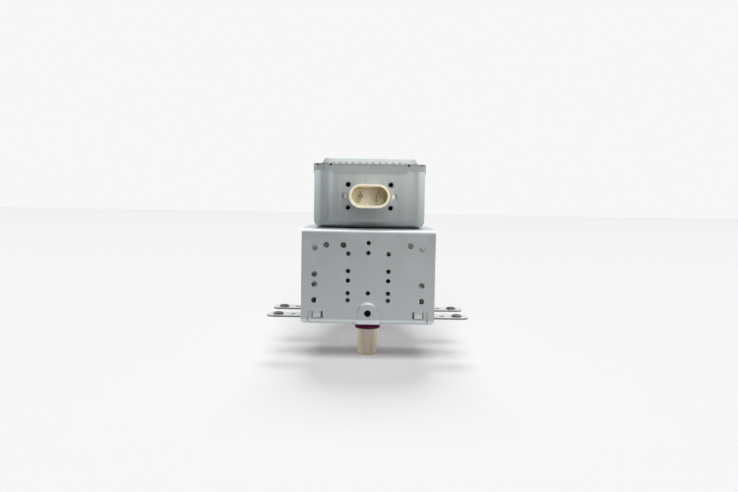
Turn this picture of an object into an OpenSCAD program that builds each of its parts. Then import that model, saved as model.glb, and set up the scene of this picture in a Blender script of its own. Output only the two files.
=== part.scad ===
// Magnetron of a microwave oven: a vacuum tube with ring magnets and cooling fins in a sheet-steel yoke,
// a filter box with its plug socket on top and the antenna below.
// Millimetres. The origin is on the antenna axis, in the mounting face under the ears. +Z points to the
// filter box, -Z along the antenna, and -Y to the side that carries the plug socket.

/* [Yoke] */
// Width of the yoke, across its two open sides
yoke_w = 83; // [70:0.5:100]
// Depth of the yoke, from the front leg to the back leg
yoke_d = 80; // [72:0.5:96]
// Height of the yoke's top face above the mounting face
yoke_h = 58; // [50:0.1:70]
// Thickness of the yoke sheet
yoke_t = 1.2; // [1:0.1:2]
// Outside radius of the bends between the top and the legs
yoke_bend_r = 3; // [2.2:0.1:4]
// Outside radius of the bend that turns each leg in under the flange plate
lip_bend_r = 2.4; // [2.2:0.1:3]
// How far each lip reaches in under the flange plate, from the leg's outside
lip_reach = 8; // [5:0.5:12]
// Width of the straight foot left at each lower corner of a leg
foot_w = 4; // [3:0.1:5]
// Width of the relief slit beside each foot
slit_w = 0.8; // [0.5:0.1:1.2]

/* [Stop tabs] */
// Width of the window cut in the leg round each stop tab
window_w = 9.7; // [8:0.1:12]
// Height of the window's top edge above the mounting face
window_top = 6.8; // [5:0.1:8]
// Height of the window's lower edge above the mounting face
window_foot = 2.4; // [1.5:0.1:2.8]
// Width of the stop tab
stop_tab_w = 4.7; // [3:0.1:6]
// Distance of the stop tab from the window's outer side
stop_tab_in = 3.6; // [3:0.1:5]
// How far the stop tab's lower end is pushed out
stop_tab_push = 1; // [0.5:0.1:2]
// Gap under the stop tab
stop_tab_gap = 0.5; // [0.3:0.1:1]
// Width of the finger left upright beside the stop tab
finger_w = 1.3; // [1:0.1:1.6]
// Distance of the finger from the window's outer side
finger_in = 1.3; // [1:0.1:2]

/* [Leg holes] */
// Diameter of the small leg holes
small_hole_d = 2.8; // [2:0.1:3.4]
// Diameter of the large leg holes
large_hole_d = 3.7; // [3:0.1:4.5]
// Distance of the two columns of small holes from the centre line
column_x = 12.5; // [10:0.5:15]
// Heights of the columns' holes above the mounting face
column_z = [13.7, 18.1, 26, 31.9]; // [10:0.1:34]
// Drop of the columns' top hole below the yoke's top face
column_drop = 15.3; // [12:0.1:18]
// Height of the lower centre hole
centre_z = 18.2; // [16:0.1:22]
// Drops of the two upper centre holes below the yoke's top face
centre_drops = [8.5, 14.7]; // [6:0.1:18]
// Distance of the outer large holes from the leg's side edge
outer_in = 8.2; // [6:0.1:10]
// Heights of the outer large holes above the mounting face
outer_z = [13.5, 23.4]; // [10:0.1:26]
// Drop of the upper outer hole below the yoke's top face
outer_drop = 11.9; // [9:0.1:14]
// Distance of the shoulder holes from the leg's side edge
shoulder_in = 15.4; // [14:0.1:18]
// Drop of the shoulder holes below the yoke's top face
shoulder_drop = 10; // [8:0.1:13]
// Place of the front leg's odd top hole, from the centre line
odd_top_x = -15.6; // [-18:0.1:-14]
// Height of the front leg's odd side hole above the mounting face
odd_side_z = 29.7; // [27:0.1:32]

/* [Screw boss] */
// Diameter of the screw hole low in each leg
boss_hole_d = 4.3; // [3:0.1:5]
// Height of the screw hole above the mounting face
boss_z = 5.6; // [4:0.1:7]
// Half width of the raised tongue round the screw hole, at its foot
boss_r = 6.9; // [6:0.1:8]
// How far the tongue stands out of the leg
boss_rise = 0.9; // [0.5:0.1:1.2]
// Run of the tongue's sloped edge
boss_slope = 1.3; // [0.8:0.1:1.6]
// Radius of the flare at the tongue's foot
boss_flare = 2.4; // [1:0.1:4]

/* [Flange plate] */
// Thickness of the flange plate
plate_t = 1; // [0.8:0.1:1.5]
// Reach of the ear holes outside the yoke's side
ear_reach = 16.8; // [14:0.1:22]
// Spacing of the two ear holes on one side
ear_pitch = 33.5; // [30:0.5:45]
// Width of an ear
ear_w = 15.5; // [13:0.5:18]
// Distance from an ear hole to the ear's tip
ear_end = 7; // [5:0.1:8]
// Radius of the ear's outer corners
ear_corner_r = 5; // [2:0.5:6]
// Radius of the fillets at the ear's root
ear_root_r = 3; // [1:0.5:5]
// Diameter of the mounting holes
ear_hole_d = 5.2; // [4.5:0.1:6.5]
// Height of the drawn collar round each mounting hole
ear_collar_h = 1.1; // [0.5:0.1:2]
// Wall of that collar
ear_collar_t = 0.7; // [0.5:0.1:1]
// Diameter of the small hole in each ear
ear_small_d = 3.6; // [3:0.1:4]
// Spacing of the small hole from the mounting hole
ear_small_in = 9.7; // [8:0.1:11]

/* [Filter box] */
// Width of the filter box
box_w = 71.6; // [64:0.1:84]
// Depth of the filter box
box_d = 60; // [58:0.5:72]
// Height of the filter box, from its floor to its rim
box_h = 40; // [34:0.1:46]
// Sheet thickness of the filter box
box_t = 0.7; // [0.5:0.1:1]
// Radius of the upright corners
box_corner_r = 11; // [8:0.5:14]
// Radius of the edge round the floor
box_edge_r = 5; // [3:0.1:6]
// Distance of the box's centre behind the antenna axis
box_back = 2; // [0:0.5:4]
// Height of the floor above the yoke's top face
box_lift = 0.6; // [0.4:0.1:3]
// Radius of the pressed seat under the floor, where it meets the yoke
box_seat_r = 20; // [18.5:0.1:21]
// Radius of the circle of the rivets between box and yoke
rivet_ring_r = 15.5; // [14.5:0.1:16]
// Shank radius of the box rivets
rivet_r = 1.6; // [1.2:0.1:1.8]

/* [Lid] */
// Sheet thickness of the lid
lid_t = 0.4; // [0.4:0.1:0.8]
// Depth of the lid's skirt at its tabs
skirt_h = 6.2; // [5:0.1:8]
// Depth of the lid's skirt at its corners
skirt_corner_h = 4.3; // [3.5:0.1:5]
// Height of the lid's raised middle
plateau_h = 4.1; // [2:0.1:5]
// Distance of the raised middle from the lid's side
plateau_in = 4.8; // [4:0.1:8]
// Run of the raised middle's sloped side
plateau_run = 2.4; // [2:0.1:4]
// Pitch of the bevels pressed into the bead along the lid's edge
rib_pitch = 4.2; // [3.5:0.1:6]
// Length of a bevel
rib_w = 2.8; // [1.5:0.1:3.2]

/* [Plug socket] */
// Width of the oval plug socket
socket_w = 25.4; // [24:0.1:28]
// Height of the oval plug socket
socket_h = 14.8; // [13.5:0.1:16]
// Wall thickness of the socket
socket_wall = 1.4; // [1:0.1:1.8]
// How far the socket's inside narrows from its mouth to its floor, on each side
socket_draft = 1; // [0:0.1:1.5]
// How far the socket stands out of the box
socket_out = 12.5; // [11:0.1:15]
// Height of the socket's centre above the box floor
socket_z = 19.8; // [16:0.1:22]
// Width of the terminal blades
blade_w = 6.3; // [4.8:0.1:6.3]
// Thickness of the terminal blades
blade_t = 0.8; // [0.5:0.1:1]
// Spacing of the terminal blades
blade_pitch = 10.8; // [10:0.1:12]
// Bore of the four collars that stake the capacitor's plate in the box wall
stake_d = 2.9; // [2:0.1:3.4]
// Spacing of the collars across and up
stake_pitch = [27, 14.6]; // [12:0.1:30]
// Spacing of the two windows that show the socket's latch lugs
latch_pitch = 31.8; // [31:0.1:34]
// Width and height of a latch window
latch_window = [3, 3.2]; // [2.5:0.1:4]

/* [Tube and magnets] */
// Thickness of each ring magnet
magnet_t = 12.7; // [10:0.1:15]
// Diameter of the ring magnets
magnet_d = 54; // [48:0.5:60]
// Diameter of the seal tubes that pass through the magnets
seal_d = 20; // [19.5:0.1:20.5]
// Diameter of the anode shell
anode_d = 39.6; // [38.4:0.1:44]
// Wall thickness of the anode shell
anode_wall = 2; // [1.5:0.1:2.5]
// Number of anode vanes
vane_count = 10; // [8:2:12]
// Height of the vanes
vane_h = 9.5; // [8:0.1:11]
// Thickness of the vanes
vane_t = 2; // [1.5:0.1:2.2]
// Radius of the space inside the vane tips
vane_tip_r = 4.6; // [4.5:0.1:5]
// Number of cooling fins
fin_count = 5; // [4:1:5]
// Sheet thickness of the fins
fin_t = 0.6; // [0.4:0.1:0.8]
// Distance of the fins' ends inside the yoke's open sides
fin_in = 5; // [3:0.5:8]

/* [Antenna] */
// Diameter of the antenna cap
cap_d = 14.4; // [14:0.1:16]
// Length of the antenna below the mounting face
antenna_len = 28.3; // [26:0.1:34]
// Radius of the cap's rounded end
cap_end_r = 2.8; // [1.5:0.1:3.2]
// Diameter of the output insulator
insulator_d = 17; // [16.5:0.1:18]
// Depth of the output insulator's lower end below the mounting face
insulator_end = 9.8; // [9:0.1:12]
// Diameter of the mesh gasket
gasket_d = 31; // [28:0.5:34]
// Height of the mesh gasket
gasket_h = 4.6; // [3.5:0.1:5]

/* [Hidden] */
$fn = 64;
// Gap between parts that slide together or stand clear of each other
slip = 0.1;
// Overshoot of a cut past the face that it opens
cut = 1;

half_w = yoke_w / 2;
half_d = yoke_d / 2;
ceiling_z = yoke_h - yoke_t;
lip_half_w = half_w - foot_w - slit_w;
lip_end_in = 1.2;
lip_bend_y = -half_d + lip_bend_r;
lip_bend_z = lip_bend_r - yoke_t;
window_out_x = half_w - foot_w;
tongue_z0 = -yoke_t + slip;
bore_r = seal_d / 2 + 0.4;

// The flange plate and its ears
plate_half_d = half_d - lip_bend_r - slip;
ear_x = half_w + ear_reach;
ear_y = ear_pitch / 2;

// The tube's stack, from the flange plate to the yoke's ceiling
seal_t = 0.8;
anode_z0 = plate_t + magnet_t + seal_t;
anode_z1 = ceiling_z - magnet_t - seal_t;
anode_mid = (anode_z0 + anode_z1) / 2;
anode_r = anode_d / 2;
anode_in_r = anode_r - anode_wall;
vane_z0 = anode_mid - vane_h / 2;
vane_z1 = anode_mid + vane_h / 2;
seal_r = seal_d / 2;
magnet_in_r = seal_r + 0.5;

// Straps: two rings near each end of the vanes, each seated in every second vane
strap_w = 1;
strap_h = 1.3;
strap_in_r = 7.2;
strap_out_r = 9.2;
strap_clear = 0.5;

// Pole pieces
pole_t = 1.6;
pole_gap = 1.4;
pole_hole_r = vane_tip_r + 0.2;
pole_flat_r = 9;

// Cathode
hat_r = 4;
hat_t = 1.2;
lead_r = 0.7;
lead_x = 3;
filament_r = 1.9;
filament_wire_r = 0.3;
filament_turns = 8.5;
hat_gap = 0.3;
hat_low_z1 = vane_z0 - hat_gap;
hat_up_z0 = vane_z1 + hat_gap;

// Cathode stem, in the filter box
stem_z0 = yoke_h + 4;
stem_h = 8;
stem_r = 9;
stem_top = stem_z0 + stem_h;
stem_pad_t = 0.8;
stem_lug_t = 0.6;
stem_lug_h = 4.6;

// Filter box
box_x = box_w / 2;
box_y0 = box_back - box_d / 2;
box_y1 = box_back + box_d / 2;
box_z0 = yoke_h + box_lift;
box_z1 = box_z0 + box_h;
box_seat_slope = 2;
stem_hole_r = 12.5;
rivet_head_r = 2.5;
rivet_head_t = 0.9;

// Lid
lid_gap = 0.05;
lid_x = box_x + lid_gap + lid_t;
lid_y0 = box_y0 - lid_gap - lid_t;
lid_y1 = box_y1 + lid_gap + lid_t;
lid_z1 = box_z1 + lid_t;
lid_corner_r = box_corner_r + lid_gap + lid_t;
lid_edge_r = 0.4;
plateau_corner_r = 8;
plateau_crown = 0.8;
plateau_crown_run = 1.2;
slit_x = box_x - box_corner_r - 0.2;
slit_y = box_d / 2 - box_corner_r - 0.2;
slit_top = 0.8;
slit_relief_r = 0.75;
slit_depth = 1.4;
bead_rise = 0.6;
bead_w = 1.2;
bead_end = 1.4;
groove_w = 0.5;
groove_depth = 0.45;
tab_end_r = 6;
tab_end_run = 4;
notch_deg = 43.5;
notch_w = 0.4;

// Plug socket and feed-through capacitor, along the socket's centre line
socket_cz = box_z0 + socket_z;
wall_in_y = box_y0 + box_t;
wing_t = 1.2;
wing_h = 7;
lug_in = 0.3;
lug_w = 1.6;
lug_h = 2.6;
lug_x = latch_pitch / 2 - latch_window[0] / 2 + slip;
wing_w = 2 * (lug_x + lug_w);
ground_t = 1;
ground_w = 38;
ground_h = 20;
ground_y0 = wall_in_y + wing_t;
ground_y1 = ground_y0 + ground_t;
collar_t = 0.4;
collar_r = stake_d / 2 + collar_t;
socket_y0 = box_y0 - socket_out;
socket_floor_y = box_y0 - 1.5;
blade_tip_y = box_y0 - socket_out + 3;
rod_r = 1.2;
ceramic_w = 21;
ceramic_h = 10;
ceramic_len = 6.5;
case_w = 24;
case_h = 13;
case_wall = 1.2;
case_len = 12;
case_y1 = ground_y1 + case_len;
blade_x = blade_pitch / 2;
lug_len = 4;
lug_y0 = case_y1 + 0.6;

// Choke coils
choke_wire_r = 0.7;
choke_r = 4.2;
choke_x = 21;
choke_z = socket_cz - choke_r;
choke_y0 = lug_y0 + lug_len / 2;
choke_turns = 9.5;
choke_pitch = 2.5;
choke_y1 = choke_y0 + choke_turns * choke_pitch;
choke_core_r = choke_r - choke_wire_r - 0.15;

// Fins
fin_collar_t = 0.7;
fin_collar_h = 1.6;
fin_x = half_w - fin_in;
fin_leg_y = half_d - yoke_t - slip;
fin_set_back = 4;
fin_tab_w = 9;
fin_tab_x = fin_x - 8;
fin_tab_h = 2.6;
fin_first = anode_z0 + 2.3;
fin_last = anode_z1 - 1.2;
fin_pitch = (fin_last - fin_first) / (fin_count - 1);

// Antenna end
seal_tip = gasket_h - 1.6;
insulator_in_r = 6;
exhaust_t = 0.7;
exhaust_skirt_h = 4;
cap_t = 0.5;
cap_lean = 2.4;
cap_in_r = cap_d / 2 - cap_t - exhaust_skirt_h * tan(cap_lean);
cap_top = insulator_end + exhaust_t;
tube_r = 3;
tube_wall = 0.8;
tube_len = 12;
pinch_len = 5;
antenna_r = 1.1;
antenna_vane_r = 12.5;

vane_names = [for (i = [1:vane_count]) str("vane_", i)];
fin_names = [for (i = [1:fin_count]) str("fin_", i)];

// Flat outlines

// A rectangle from one corner to the other
module span(x0, y0, x1, y1) {
    translate([x0, y0])
        square([x1 - x0, y1 - y0]);
}

// A rectangle from one corner to the other, with four round corners
module round_span(x0, y0, x1, y1, r) {
    span(x0 + r, y0, x1 - r, y1);
    span(x0, y0 + r, x1, y1 - r);
    for (x = [x0 + r, x1 - r], y = [y0 + r, y1 - r])
        translate([x, y])
            circle(r);
}

// A rectangle whose two lower corners are round
module round_foot(x0, y0, x1, y1, r) {
    span(x0 + r, y0, x1 - r, y1);
    span(x0, y0 + r, x1, y1);
    for (x = [x0 + r, x1 - r])
        translate([x, y0 + r])
            circle(r);
}

// An oval with round ends, centred
module oval(w, h) {
    square([w - h, h], center = true);
    for (side = [-1, 1])
        translate([side * (w - h) / 2, 0])
            circle(h / 2);
}

// A ring's section for rotate_extrude, from one radius and height to another
module ring(r0, r1, z0, z1) {
    rotate_extrude()
        span(r0, z0, r1, z1);
}

// Extrusions along the frame's axes

// Carries a Y-Z outline along X
module along_x(x0, x1) {
    translate([x0, 0, 0])
        rotate([90, 0, 90])
            linear_extrude(x1 - x0)
                children();
}

// Carries an X-Z outline along Y
module along_y(y0, y1) {
    translate([0, y1, 0])
        rotate([90, 0, 0])
            linear_extrude(y1 - y0)
                children();
}

// Carries an X-Y outline along Z
module along_z(z0, z1) {
    translate([0, 0, z0])
        linear_extrude(z1 - z0)
            children();
}

// A drawn pan: round upright corners, and a round edge at its floor
module pan(x0, x1, y0, y1, z0, z1, corner_r, edge_r) {
    intersection() {
        along_z(z0, z1)
            round_span(x0, y0, x1, y1, corner_r);
        along_y(y0 - cut, y1 + cut)
            round_foot(x0, z0, x1, z1 + cut, edge_r);
        along_x(x0 - cut, x1 + cut)
            round_foot(y0, z0, y1, z1 + cut, edge_r);
    }
}

// A round rod through a list of points, with ball joints at the inner ones
module rod_path(points, r) {
    for (i = [0:len(points) - 2])
        rod(points[i], points[i + 1], r);
    for (i = [1:1:len(points) - 2])
        translate(points[i])
            sphere(1.01 * r);
}

// A straight round rod between two points
module rod(a, b, r) {
    v = b - a;
    turn = acos(v[2] / norm(v));
    heading = atan2(v[1], v[0]);
    translate(a)
        rotate([0, turn, heading])
            cylinder(r = r, h = norm(v));
}

// Wire swept along a list of points

function unit(v) = v / norm(v);
function tangent(path, i) =
    unit(path[min(i + 1, len(path) - 1)] - path[max(i - 1, 0)]);
// The part of a vector that is square to a direction
function square_to(v, t) = unit(v - (v * t) * t);
// One normal per point, each turned from the last as little as the path allows
function normals(path, n, i = 0) =
    let (u = square_to(n, tangent(path, i)))
    i == len(path) - 1 ? [u] : concat([u], normals(path, u, i + 1));

module wire(path, r, sides = 8) {
    n = normals(path, [0.31, 0.52, 0.79]);
    last = len(path) - 1;
    points = [
        for (i = [0:last], k = [0:sides - 1])
            let (t = tangent(path, i), a = 360 * k / sides)
            path[i] + r * (cos(a) * n[i] + sin(a) * cross(t, n[i]))
    ];
    walls = [
        for (i = [0:last - 1], k = [0:sides - 1], half = [0, 1])
            let (a = i * sides + k, b = i * sides + (k + 1) % sides)
            half == 0 ? [a, a + sides, b] : [b, a + sides, b + sides]
    ];
    caps = [
        [for (k = [0:sides - 1]) k],
        [for (k = [sides - 1:-1:0]) last * sides + k]
    ];
    polyhedron(points, concat(walls, caps));
}

// Yoke

// A Y-Z outline standing on the mounting face, with its two upper corners round
module arch_outline(y, z, r) {
    span(-y, 0, y, z - r);
    span(-y + r, 0, y - r, z);
    for (side = [-1, 1])
        translate([side * (y - r), z - r])
            circle(r);
}

// The lip's flat strip under the flange plate, at the front leg
module strip_outline() {
    span(lip_bend_y, -yoke_t, -half_d + lip_reach, 0);
}

// The lip's outline at the front leg: a quarter bend, then the flat strip
module lip_outline() {
    span(-half_d, lip_bend_z, -half_d + yoke_t, window_foot);
    strip_outline();
    intersection() {
        difference() {
            translate([lip_bend_y, lip_bend_z])
                circle(lip_bend_r);
            translate([lip_bend_y, lip_bend_z])
                circle(lip_bend_r - yoke_t);
        }
        span(-half_d, -yoke_t, lip_bend_y, lip_bend_z);
    }
}

// The stop tab in the +X window of the front leg, pushed out at its lower end, and the finger beside it
module stop_tab() {
    tab_x1 = window_out_x - stop_tab_in;
    tab_z0 = window_foot + stop_tab_gap;
    bend_z = (window_top + tab_z0) / 2 + stop_tab_gap;
    along_x(tab_x1 - stop_tab_w, tab_x1)
        polygon([
            [-half_d, window_top],
            [-half_d + yoke_t, window_top],
            [-half_d + yoke_t, bend_z],
            [-half_d + yoke_t - stop_tab_push, tab_z0],
            [-half_d - stop_tab_push, tab_z0],
            [-half_d, bend_z]
        ]);
    finger_x1 = window_out_x - finger_in;
    along_x(finger_x1 - finger_w, finger_x1)
        span(-half_d, window_foot, -half_d + yoke_t, window_top);
}

// A tongue with sloped edges on the front leg: round at its top, straight down to its foot
module tongue(y, rise, r_foot, r_face, foot_z) {
    intersection() {
        translate([0, y, boss_z])
            rotate([90, 0, 0])
                cylinder(r1 = r_foot, r2 = r_face, h = rise);
        along_z(boss_z - slip, boss_z + r_foot + cut)
            span(-r_foot - cut, y - rise - cut, r_foot + cut, y + cut);
    }
    along_z(foot_z, boss_z)
        polygon([
            [-r_foot, y],
            [-r_face, y - rise],
            [r_face, y - rise],
            [r_foot, y]
        ]);
}

// The tongue's lower end, carried round the lip's bend
module tongue_foot() {
    along_z(tongue_z0, lip_bend_z)
        polygon([
            [-boss_r, lip_bend_y - yoke_t / 2],
            [-boss_r, -half_d],
            [-boss_r + boss_slope, -half_d - boss_rise],
            [boss_r - boss_slope, -half_d - boss_rise],
            [boss_r, -half_d],
            [boss_r, lip_bend_y - yoke_t / 2]
        ]);
}

// The flare where the tongue's right edge runs out along the leg's foot
module tongue_flare() {
    foot_z = tongue_z0;
    along_y(-half_d - boss_rise / 2, lip_bend_y - yoke_t / 2)
        difference() {
            span(boss_r - boss_slope, foot_z, boss_r + boss_flare, foot_z + boss_flare);
            translate([boss_r + boss_flare, foot_z + boss_flare])
                circle(boss_flare);
        }
}

// Round hole through the front leg
module leg_hole(x, z, d) {
    translate([x, -half_d - cut - boss_rise, z])
        rotate([-90, 0, 0])
            cylinder(d = d, h = yoke_t + boss_rise + 2 * cut);
}

// The holes that both legs have
module leg_holes() {
    for (side = [-1, 1]) {
        for (z = column_z)
            leg_hole(side * column_x, z, small_hole_d);
        leg_hole(side * column_x, yoke_h - column_drop, small_hole_d);
        for (z = outer_z)
            leg_hole(side * (half_w - outer_in), z, large_hole_d);
        leg_hole(side * (half_w - outer_in), yoke_h - outer_drop, large_hole_d);
        leg_hole(side * (half_w - shoulder_in), yoke_h - shoulder_drop, large_hole_d);
    }
    leg_hole(0, centre_z, small_hole_d);
    for (drop = centre_drops)
        leg_hole(0, yoke_h - drop, small_hole_d);
    leg_hole(0, boss_z, boss_hole_d);
}

// The holes that only the front leg has
module odd_leg_holes() {
    leg_hole(odd_top_x, yoke_h - shoulder_drop, large_hole_d);
    leg_hole(-half_w + outer_in, odd_side_z, large_hole_d);
}

// What a leg gains: its lip, its stop tabs and the tongue round its screw hole
module leg_forms() {
    along_x(-lip_half_w, lip_half_w)
        lip_outline();
    along_x(-half_w + lip_end_in, half_w - lip_end_in)
        strip_outline();
    for (side = [0, 1])
        mirror([side, 0, 0]) {
            stop_tab();
            tongue_flare();
        }
    tongue(-half_d, boss_rise, boss_r, boss_r - boss_slope, lip_bend_z);
    tongue_foot();
}

// What a leg loses: the hollow behind the tongue, and its holes
module leg_cuts() {
    tongue(-half_d + yoke_t, boss_rise, boss_r - boss_slope, boss_r - 2 * boss_slope, window_foot);
    leg_holes();
}

// The bent sheet with both legs' feet, slits and windows cut out
module yoke_blank() {
    difference() {
        along_x(-half_w, half_w)
            difference() {
                arch_outline(half_d, yoke_h, yoke_bend_r);
                arch_outline(half_d - yoke_t, ceiling_z, yoke_bend_r - yoke_t);
                span(-half_d + yoke_t, -cut, half_d - yoke_t, yoke_t);
            }
        along_y(-half_d - cut, half_d + cut) {
            span(-window_out_x, -cut, window_out_x, lip_bend_z);
            for (side = [0, 1])
                mirror([side, 0]) {
                    span(lip_half_w, 0, window_out_x, window_foot + slip);
                    span(window_out_x - window_w, window_foot, window_out_x, window_top);
                }
        }
    }
}

// The four places of the rivets between the box and the yoke
module rivet_places() {
    for (a = [45:90:315])
        rotate([0, 0, a])
            translate([rivet_ring_r, 0, 0])
                children();
}

module yoke_frame() {
    color("gainsboro")
    difference() {
        union() {
            yoke_blank();
            for (turn = [0, 180])
                rotate([0, 0, turn])
                    leg_forms();
        }
        for (turn = [0, 180])
            rotate([0, 0, turn])
                leg_cuts();
        odd_leg_holes();
        translate([0, 0, ceiling_z - cut])
            cylinder(r = bore_r, h = yoke_t + 2 * cut);
        rivet_places()
            translate([0, 0, ceiling_z - cut])
                cylinder(r = rivet_r, h = yoke_t + 2 * cut);
    }
}

// Flange plate

// One ear in the +X +Y quarter, with fillets where it leaves the plate
module ear_outline() {
    y0 = ear_y - ear_w / 2;
    y1 = ear_y + ear_w / 2;
    round_span(half_w - 2 * ear_corner_r, y0, ear_x + ear_end, y1, ear_corner_r);
    for (side = [-1, 1])
        difference() {
            edge_y = ear_y + side * ear_w / 2;
            translate([half_w - cut, edge_y - ear_root_r])
                square([ear_root_r + cut, 2 * ear_root_r]);
            translate([half_w + ear_root_r, edge_y + side * ear_root_r])
                circle(ear_root_r);
        }
}

// Repeats a shape of the +X +Y quarter in all four
module four_ways() {
    for (x = [0, 1], y = [0, 1])
        mirror([x, 0, 0])
            mirror([0, y, 0])
                children();
}

module flange_plate() {
    color("silver") {
    four_ways()
        translate([ear_x, ear_y, 0])
            ring(ear_hole_d / 2, ear_hole_d / 2 + ear_collar_t, 0, plate_t + ear_collar_h);
    along_z(0, plate_t)
        difference() {
            union() {
                span(-half_w, -plate_half_d, half_w, plate_half_d);
                four_ways()
                    ear_outline();
            }
            circle(bore_r);
            for (x = [-1, 1], y = [-1, 1]) {
                translate([x * ear_x, y * ear_y])
                    circle(d = ear_hole_d);
                translate([x * (ear_x - ear_small_in), y * ear_y])
                    circle(d = ear_small_d);
            }
        }
    }
}

// Filter box and lid

// The seat pressed down out of the box floor, smaller by one sheet thickness for its inside
module box_seat(inset) {
    slope = box_seat_slope / box_lift;
    height = box_lift + (inset > 0 ? cut : box_t / 2);
    translate([0, 0, yoke_h + inset])
        cylinder(r1 = box_seat_r - inset, r2 = box_seat_r - inset + slope * height, h = height);
}

// Carries an outline in the plane of the box's front wall through that wall, centred on the socket
module through_wall() {
    translate([0, 0, socket_cz])
        along_y(box_y0 - cut, wall_in_y + cut)
            children();
}

module stake_places() {
    for (x = [-1, 1], z = [-1, 1])
        translate([x * stake_pitch[0] / 2, z * stake_pitch[1] / 2])
            children();
}

module latch_windows() {
    for (x = [-1, 1])
        translate([x * latch_pitch / 2, 0])
            square(latch_window, center = true);
}

module filter_box() {
    color("lightgray")
    difference() {
        union() {
            pan(-box_x, box_x, box_y0, box_y1, box_z0, box_z1, box_corner_r, box_edge_r);
            box_seat(0);
        }
        pan(
            -box_x + box_t, box_x - box_t, box_y0 + box_t, box_y1 - box_t,
            box_z0 + box_t, box_z1 + cut, box_corner_r - box_t, box_edge_r - box_t);
        box_seat(box_t);
        translate([0, 0, yoke_h - cut])
            cylinder(r = stem_hole_r, h = box_t + 2 * cut);
        rivet_places()
            translate([0, 0, yoke_h - cut])
                cylinder(r = rivet_r, h = box_t + 2 * cut);
        relief_holes();
        slit_grooves();
        through_wall() {
            oval(socket_w + 2 * slip, socket_h + 2 * slip);
            stake_places()
                circle(collar_r + slip);
            latch_windows();
        }
    }
}

// A pan turned over, its round edge at the top
module cover(x0, x1, y0, y1, z0, z1, corner_r, edge_r) {
    translate([0, 0, z0 + z1])
        mirror([0, 0, 1])
            pan(x0, x1, y0, y1, z0, z1, corner_r, edge_r);
}

// A block with sloped sides and round corners, which grows narrower by run from z0 to z1
module sloped_block(x, y0, y1, z0, z1, corner_r, run) {
    r = corner_r - run;
    along_y(y0 + corner_r, y1 - corner_r)
        polygon([[-x, z0], [x, z0], [x - run, z1], [-x + run, z1]]);
    along_x(-x + corner_r, x - corner_r)
        polygon([[y0, z0], [y1, z0], [y1 - run, z1], [y0 + run, z1]]);
    for (cx = [-x + corner_r, x - corner_r], cy = [y0 + corner_r, y1 - corner_r])
        translate([cx, cy, z0])
            cylinder(r1 = corner_r, r2 = r, h = z1 - z0);
}

// The raised middle of the lid, a steep slope and then a flat one, smaller by one sheet thickness for its inside
module plateau(inset) {
    in = plateau_in + inset;
    foot_z = lid_z1 - lid_t / 2 - inset;
    crown_z = lid_z1 + plateau_h - plateau_crown - inset;
    run = plateau_run * (crown_z - foot_z) / plateau_h;
    sloped_block(lid_x - in, lid_y0 + in, lid_y1 - in, foot_z, crown_z, plateau_corner_r - inset, run);
    sloped_block(
        lid_x - in - run, lid_y0 + in + run, lid_y1 - in - run, crown_z, crown_z + plateau_crown,
        plateau_corner_r - inset - run, plateau_crown_run);
}

// What rounds off a skirt tab's lower corner, in the plane of the skirt, at the slit on its right
module tab_corner(x, z) {
    difference() {
        span(x - tab_end_run, z - cut, x + slip, z + skirt_h / 2);
        translate([x - tab_end_run, z + tab_end_r])
            circle(tab_end_r);
        span(x - tab_end_run - cut, z + tab_end_r, x + cut, z + tab_end_r + skirt_h);
    }
}

// A skirt's two slits, and its tab's round corners
module skirt_cuts(half) {
    z0 = lid_z1 - skirt_h;
    z1 = lid_z1 - slit_top;
    for (side = [0, 1])
        mirror([side, 0]) {
            span(half - slit_w / 2, z0 - cut, half + slit_w / 2, z1);
            tab_corner(half, z0);
        }
}

// The bead along one edge of the lid, bevelled in a row of short lengths
module edge_bead(half, edge_y) {
    steps = floor((half - 2) / rib_pitch);
    y0 = edge_y + lid_edge_r + slip;
    z1 = lid_z1 + bead_rise;
    difference() {
        along_x(-half + bead_end, half - bead_end)
            span(y0, lid_z1 - lid_t / 2, y0 + bead_w, z1);
        for (i = [-steps:steps])
            along_x(i * rib_pitch - rib_w / 2, i * rib_pitch + rib_w / 2)
                polygon([
                    [y0 - slip, lid_z1 - slip],
                    [y0 + bead_rise + slip, z1 + slip],
                    [y0 - slip, z1 + slip]
                ]);
    }
}

// The relief holes of the lid's slits, cut through lid and rim alike
module relief_holes() {
    translate([0, box_back, 0])
        for (turn = [0, 180])
            rotate([0, 0, turn]) {
                along_y(lid_y0 - box_back - cut, lid_y0 - box_back + slit_depth)
                    for (x = [-slit_x, slit_x])
                        translate([x, lid_z1 - slit_top])
                            circle(slit_relief_r);
                rotate([0, 0, 90])
                    along_y(-lid_x - cut, -lid_x + slit_depth)
                        for (x = [-slit_y, slit_y])
                            translate([x, lid_z1 - slit_top])
                                circle(slit_relief_r);
            }
    translate([0, box_back, 0])
        four_ways()
            translate([box_x - box_corner_r, box_d / 2 - box_corner_r, lid_z1 - slit_top])
                rotate([0, 0, notch_deg])
                    translate([lid_corner_r - slit_depth, 0, 0])
                        rotate([0, 90, 0])
                            cylinder(r = slit_relief_r, h = slit_depth + cut);
}

// The grooves in the box's wall behind the lid's straight slits
module slit_grooves() {
    z0 = lid_z1 - skirt_corner_h + groove_w;
    z1 = lid_z1 - slit_top;
    translate([0, box_back, 0])
        for (turn = [0, 180])
            rotate([0, 0, turn]) {
                along_y(box_y0 - box_back - cut, box_y0 - box_back + groove_depth)
                    for (x = [-slit_x, slit_x])
                        span(x - groove_w / 2, z0, x + groove_w / 2, z1);
                rotate([0, 0, 90])
                    along_y(-box_x - cut, -box_x + groove_depth)
                        for (x = [-slit_y, slit_y])
                            span(x - groove_w / 2, z0, x + groove_w / 2, z1);
            }
}

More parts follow.
